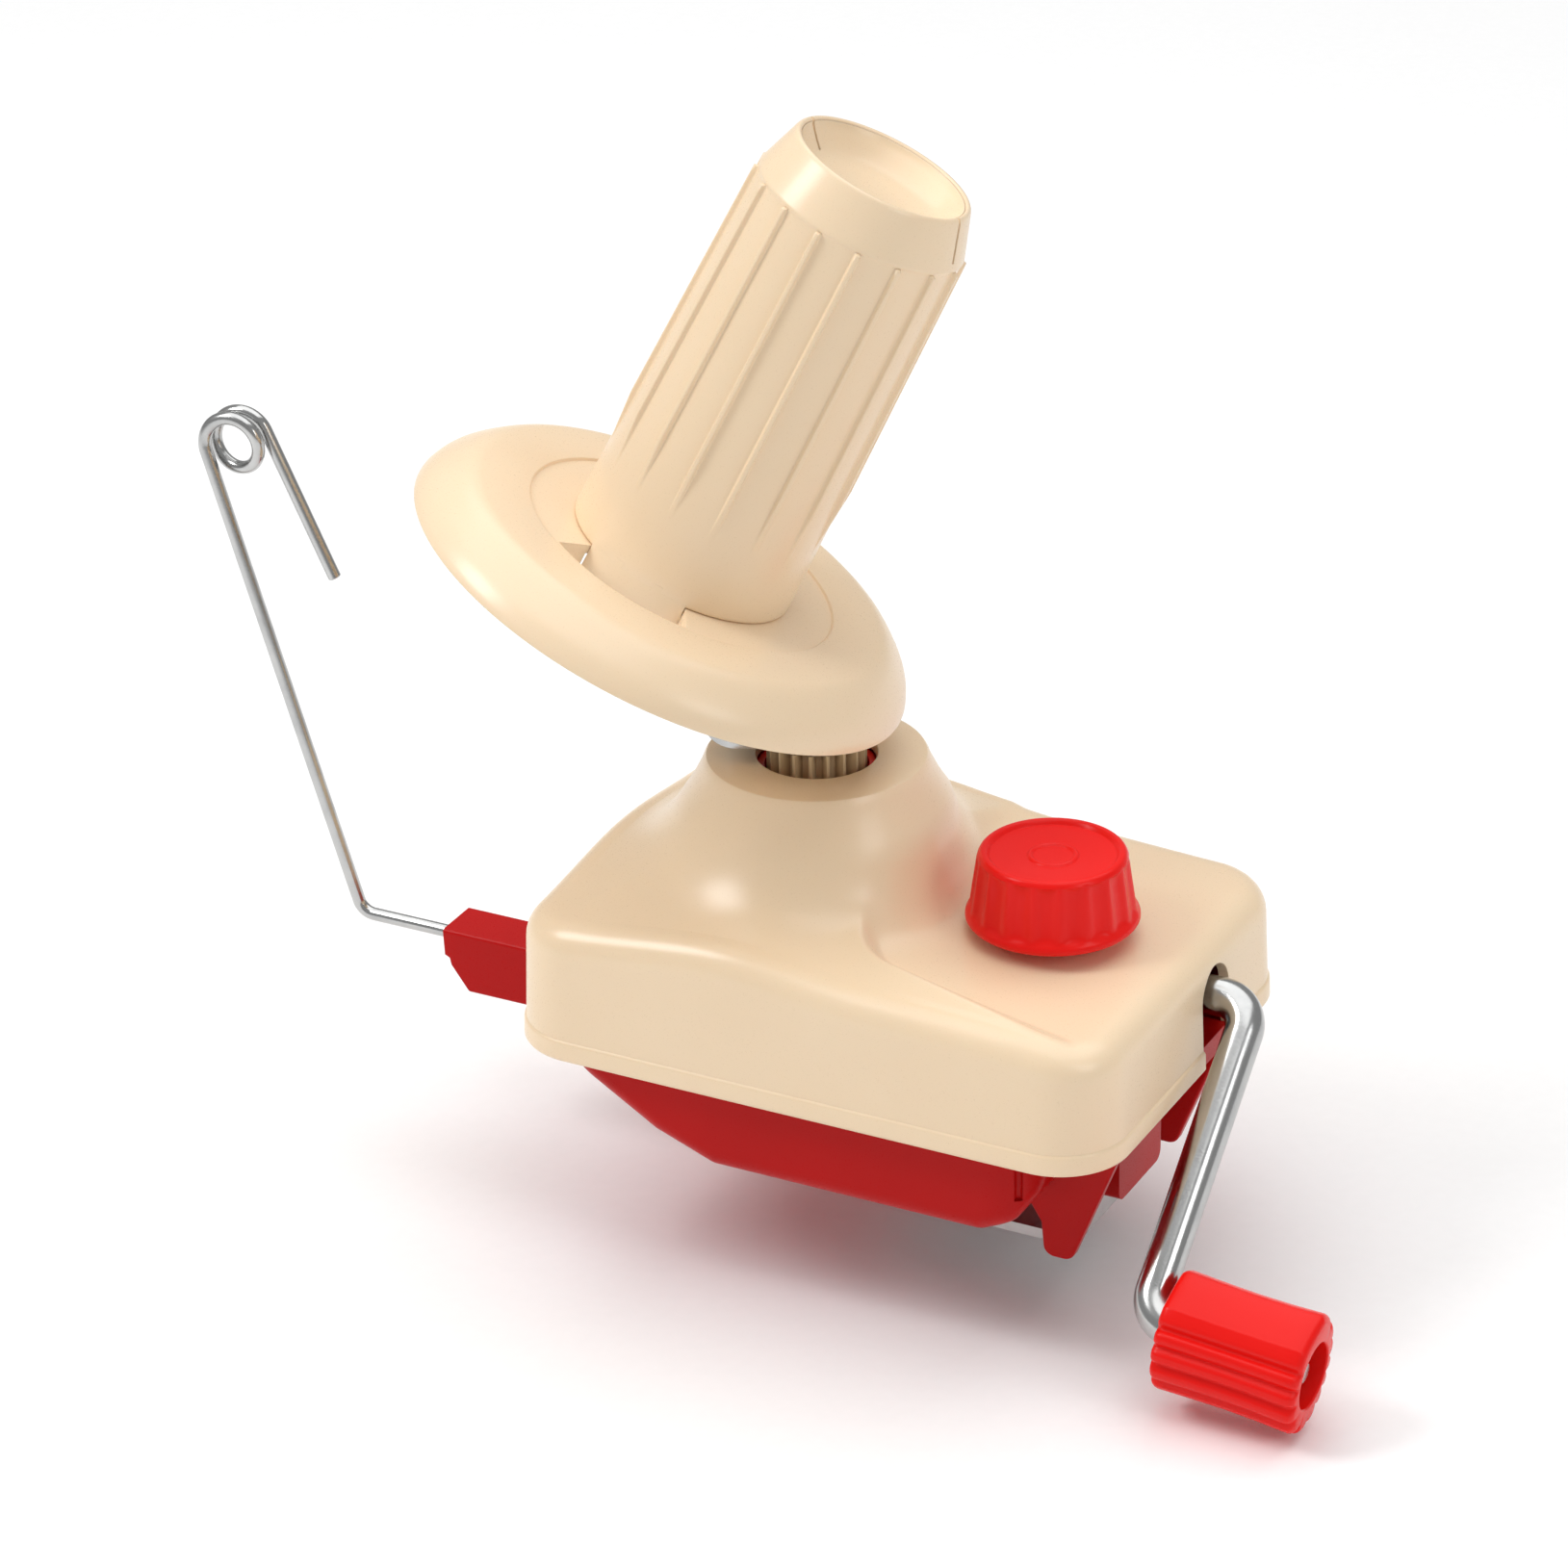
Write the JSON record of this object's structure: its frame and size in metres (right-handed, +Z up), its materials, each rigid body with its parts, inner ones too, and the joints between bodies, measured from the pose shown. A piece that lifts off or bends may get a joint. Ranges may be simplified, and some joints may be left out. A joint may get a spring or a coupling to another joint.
{
  "type": "yarn cone winder",
  "caption": "Hand-cranked yarn cone winder with leaning ribbed spool and disc, cream cover, red tub, wire guide and table clamp.",
  "frame": {"origin": "where the neck's vertical axis meets the plane of the seat face under the tub", "axes": "+Z up along the neck's axis, +X along the body towards the crank, +Y away from the crank arm's rest side"},
  "size_m": [0.2885, 0.1221, 0.2505],
  "materials": {
    "cream_plastic": "moulded cream plastic",
    "red_plastic": "moulded red plastic",
    "gear_nylon": "moulded nylon",
    "bright_steel": "bright drawn steel",
    "plated_steel": "nickel plated",
    "bronze": "sintered bronze"
  },
  "bodies": {
    "root": {"top_cover": "cream_plastic", "base_tub": "red_plastic", "gear_bridge": "red_plastic", "bridge_screws": "bright_steel", "cover_screws": "bright_steel", "crank_bushes": "bronze", "bearing_caps": "red_plastic", "cap_screws": "bright_steel", "centre_post": "bright_steel", "post_screw": "bright_steel", "sun_gear": "gear_nylon", "sun_screw": "bright_steel", "thrust_washers": "bright_steel", "knob_washer": "plated_steel", "guide_bracket": "red_plastic", "bracket_screws": "bright_steel"},
    "crank": {"crank_rod": "plated_steel", "crown_gear": "gear_nylon", "crown_pin": "bright_steel", "crank_clips": "bright_steel", "handle_washer": "plated_steel"},
    "handle": {"crank_handle": "red_plastic"},
    "rotor": {"rotor_gear": "gear_nylon", "rotor_bushes": "bronze", "rotor_arm": "plated_steel", "arm_screws": "bright_steel", "spindle": "bright_steel", "spindle_nut": "bright_steel", "spool_clip": "bright_steel"},
    "spool": {"spool_disc": "cream_plastic", "ring_gear": "gear_nylon", "spool_core": "cream_plastic", "spool_cap": "cream_plastic", "disc_screws": "bright_steel", "spool_bushes": "bronze"},
    "knob": {"clamp_knob": "red_plastic", "clamp_screw": "bright_steel", "clamp_collar": "bright_steel"},
    "jaw": {"clamp_jaw": "plated_steel", "jaw_nut": "bronze"},
    "guide": {"guide_wire": "plated_steel"}
  },
  "joints": [
    {"name": "crank_turn", "type": "hinge", "parent": "root", "child": "crank", "pos_m": [0, 0.011, 0.0355], "axis": [1, 0, 0], "continuous": true},
    {"name": "rotor_turn", "type": "hinge", "parent": "root", "child": "rotor", "pos_m": [0, 0, 0.068], "axis": [0, 0, 1], "continuous": true},
    {"name": "spool_turn", "type": "hinge", "parent": "rotor", "child": "spool", "pos_m": [0, 0, 0.1814], "axis": [0.4062, 0.192, 0.8934], "continuous": true},
    {"name": "handle_turn", "type": "hinge", "parent": "crank", "child": "handle", "pos_m": [0.098, -0.04393, -0.01258], "axis": [0.9957, 0, -0.0924], "continuous": true},
    {"name": "knob_turn", "type": "hinge", "parent": "root", "child": "knob", "pos_m": [0.056, 0, 0.06], "axis": [0, 0, 1], "range_deg": [-991, 2431]},
    {"name": "jaw_slide", "type": "slide", "parent": "root", "child": "jaw", "axis": [0, 0, 1], "range_m": [-0.0135, 0.0055]},
    {"name": "guide_swing", "type": "hinge", "parent": "root", "child": "guide", "pos_m": [-0.09, 0, 0.0143], "axis": [1, 0, 0], "range_deg": [-80, 80]}
  ],
  "couplings": [
    {"joint": "rotor_turn", "follows": "crank_turn", "ratio": -2.2222},
    {"joint": "spool_turn", "follows": "crank_turn", "ratio": 0.51282},
    {"joint": "knob_turn", "follows": "jaw_slide", "rad_per_m": -3141.6}
  ]
}
